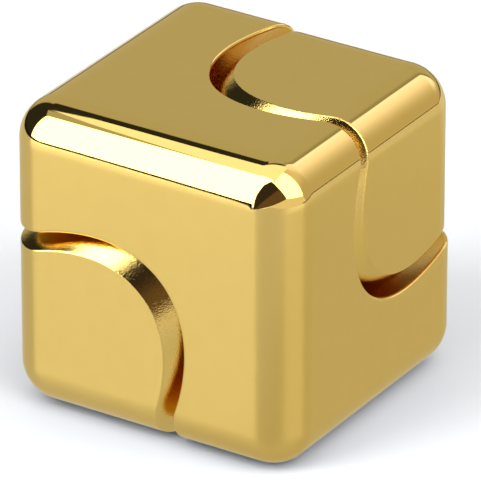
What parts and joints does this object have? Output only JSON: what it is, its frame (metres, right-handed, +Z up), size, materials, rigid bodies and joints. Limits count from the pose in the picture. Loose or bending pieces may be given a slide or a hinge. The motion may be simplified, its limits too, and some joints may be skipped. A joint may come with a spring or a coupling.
{
  "type": "cube spinner",
  "caption": "Gold metal fidget cube: the body spins about its corner-to-corner diagonal on a ball bearing, between two round corner caps held by finger and thumb.",
  "frame": {"origin": "middle of the square underside that the cube rests on", "axes": "+Z up; the sides of the cube lie along X and Y; the spin axis runs from the lower cap at the (-X, -Y, -Z) corner to the upper cap at the (+X, +Y, +Z) corner"},
  "size_m": [0.028, 0.028, 0.028],
  "materials": {
    "gold_metal": "polished",
    "bearing_steel": "polished",
    "shield_steel": "satin",
    "cage_brass": "satin",
    "dark_steel": "satin",
    "hub_alloy": "satin"
  },
  "bodies": {
    "caps": {"upper_corner_cap": "gold_metal", "lower_corner_cap": "gold_metal", "upper_hub_disc": "hub_alloy", "lower_hub_disc": "hub_alloy", "upper_hub_screw": "dark_steel", "lower_hub_screw": "dark_steel", "upper_spacer": "cage_brass", "lower_spacer": "cage_brass", "axle": "dark_steel", "bearing_inner_ring": "bearing_steel"},
    "body": {"cube_body": "gold_metal", "bearing_retaining_ring": "dark_steel", "bearing_outer_ring": "bearing_steel", "upper_shield": "shield_steel", "lower_shield": "shield_steel", "upper_shield_clip": "bearing_steel", "lower_shield_clip": "bearing_steel"},
    "cage": {"ball_cage_upper_half": "cage_brass", "ball_cage_lower_half": "cage_brass", "ball_cage_rivets": "cage_brass", "bearing_balls": "bearing_steel"}
  },
  "joints": [
    {"name": "body_spin", "type": "hinge", "parent": "caps", "child": "body", "pos_m": [0, 0, 0.014], "axis": [0.5774, 0.5774, 0.5774], "continuous": true},
    {"name": "cage_spin", "type": "hinge", "parent": "caps", "child": "cage", "pos_m": [0, 0, 0.014], "axis": [0.5774, 0.5774, 0.5774], "continuous": true}
  ],
  "couplings": [
    {"joint": "cage_spin", "follows": "body_spin", "ratio": 0.58336}
  ]
}
